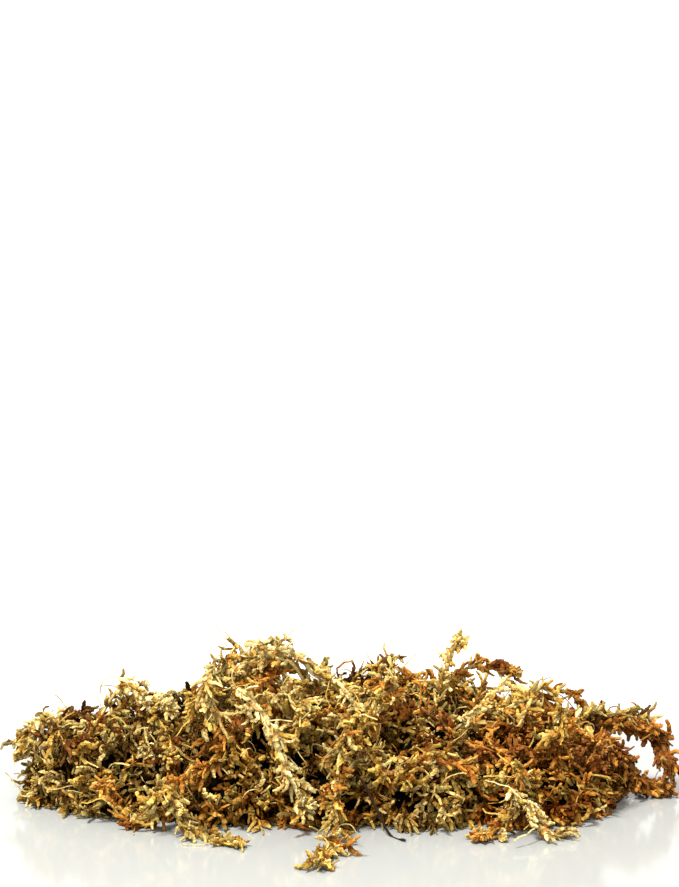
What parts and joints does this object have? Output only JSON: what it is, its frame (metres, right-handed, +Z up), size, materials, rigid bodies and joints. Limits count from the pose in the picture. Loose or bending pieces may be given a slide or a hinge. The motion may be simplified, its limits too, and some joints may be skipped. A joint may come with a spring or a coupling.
{
  "type": "sphagnum moss clump",
  "caption": "Loose heap of dried long-fibre sphagnum moss: matted tufts with leafy strands draped over them, lying on a level surface.",
  "frame": {"origin": "middle of the ground that the clump covers, on the surface it lies on", "axes": "+X along the clump, -Y its front, +Z up"},
  "size_m": [0.1852, 0.1164, 0.0456],
  "materials": {
    "straw": "dry matt pale straw moss",
    "cream": "dry matt bleached cream moss",
    "gold": "dry matt golden brown moss",
    "olive": "dry matt olive brown moss",
    "orange": "dry matt orange brown moss",
    "russet": "dry matt red brown moss",
    "umber": "dry matt dark brown moss"
  },
  "bodies": {
    "root": {"matted_tuft_01": "olive", "matted_tuft_02": "olive", "matted_tuft_03": "umber", "matted_tuft_04": "gold", "matted_tuft_05": "olive", "matted_tuft_06": "gold", "matted_tuft_07": "umber", "matted_tuft_08": "olive", "matted_tuft_09": "umber", "matted_tuft_10": "orange", "matted_tuft_11": "russet", "draped_strand_01": "gold", "draped_strand_02": "orange", "draped_strand_03": "orange", "draped_strand_04": "umber", "draped_strand_05": "gold", "draped_strand_06": "straw", "draped_strand_07": "orange", "draped_strand_08": "olive", "draped_strand_09": "russet", "draped_strand_10": "orange", "draped_strand_11": "straw", "draped_strand_12": "gold", "draped_strand_13": "gold", "draped_strand_14": "straw", "draped_strand_15": "orange", "draped_strand_16": "umber", "draped_strand_17": "gold", "draped_strand_18": "straw", "dark_twig": "umber", "floor_strand_right": "russet", "russet_arch": "russet", "left_tip_curl_high": "gold", "left_tip_curl_low": "straw", "pale_stem_left": "straw", "cream_sprig_left": "cream", "golden_sprig_left": "gold", "hanging_fan": "straw", "olive_stem": "olive", "orange_band": "orange", "hanging_sprig": "straw", "pale_stems_ridge": "cream", "orange_strand_low": "orange", "trailing_strand": "gold", "cream_fall": "cream", "golden_crown_right": "gold", "russet_heads_front": "russet", "russet_heads_low": "russet", "curled_sprig_right": "gold", "pale_stem_right": "cream", "upright_frond": "straw", "umber_tuft_top": "orange", "arching_stem": "orange", "pale_strand_right": "straw", "orange_runner": "orange", "pale_runner": "straw", "front_tangle_right": "orange", "pale_fan_right": "cream"}
  },
  "joints": []
}
